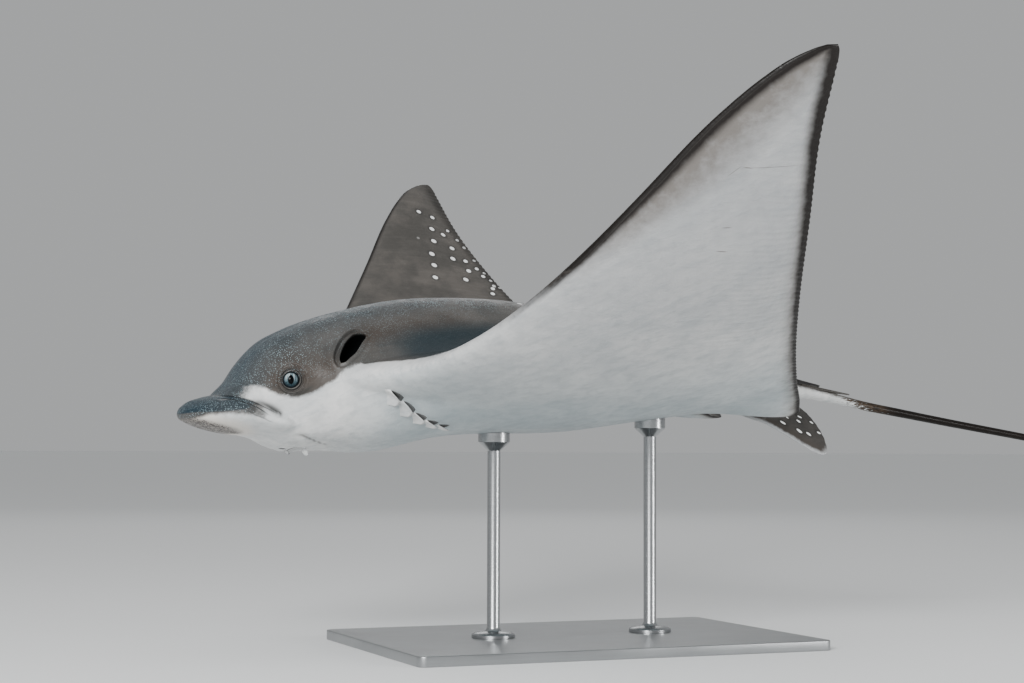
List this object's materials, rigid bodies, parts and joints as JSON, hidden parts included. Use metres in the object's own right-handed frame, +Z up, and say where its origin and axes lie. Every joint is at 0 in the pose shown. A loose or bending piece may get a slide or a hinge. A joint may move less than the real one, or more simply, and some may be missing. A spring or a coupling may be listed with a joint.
{
  "type": "spotted eagle ray model",
  "caption": "Life-size spotted eagle ray in mid stroke on a flat base: wings raised into a shallow V, flat lobed snout, long whip tail trailing behind",
  "frame": {"origin": "on the floor, at the middle of the underside of the stand's base", "axes": "+X from the snout towards the tail (the ray faces -X), +Y to the animal's right side, +Z up"},
  "size_m": [3.9725, 1.3304, 0.7265],
  "materials": {
    "skin": "smooth, slightly wet-looking skin, dark grey-brown with pale spots above and white below",
    "spine": "dark barbed spine",
    "eye": "clear cornea over a silver blue-grey iris",
    "steel": "satin"
  },
  "bodies": {
    "root": {"snout": "skin", "head": "skin", "torso": "skin", "wing_left": "skin", "wing_right": "skin", "pelvic_fin_left": "skin", "pelvic_fin_right": "skin", "dorsal_fin": "skin", "tail_1": "skin", "tail_2": "skin", "tail_3": "skin", "tail_4": "skin", "sting_left": "spine", "sting_right": "spine", "eye_left": "eye", "eye_right": "eye", "stand_base": "steel", "stand_rod_front": "steel", "stand_rod_rear": "steel"}
  },
  "joints": []
}
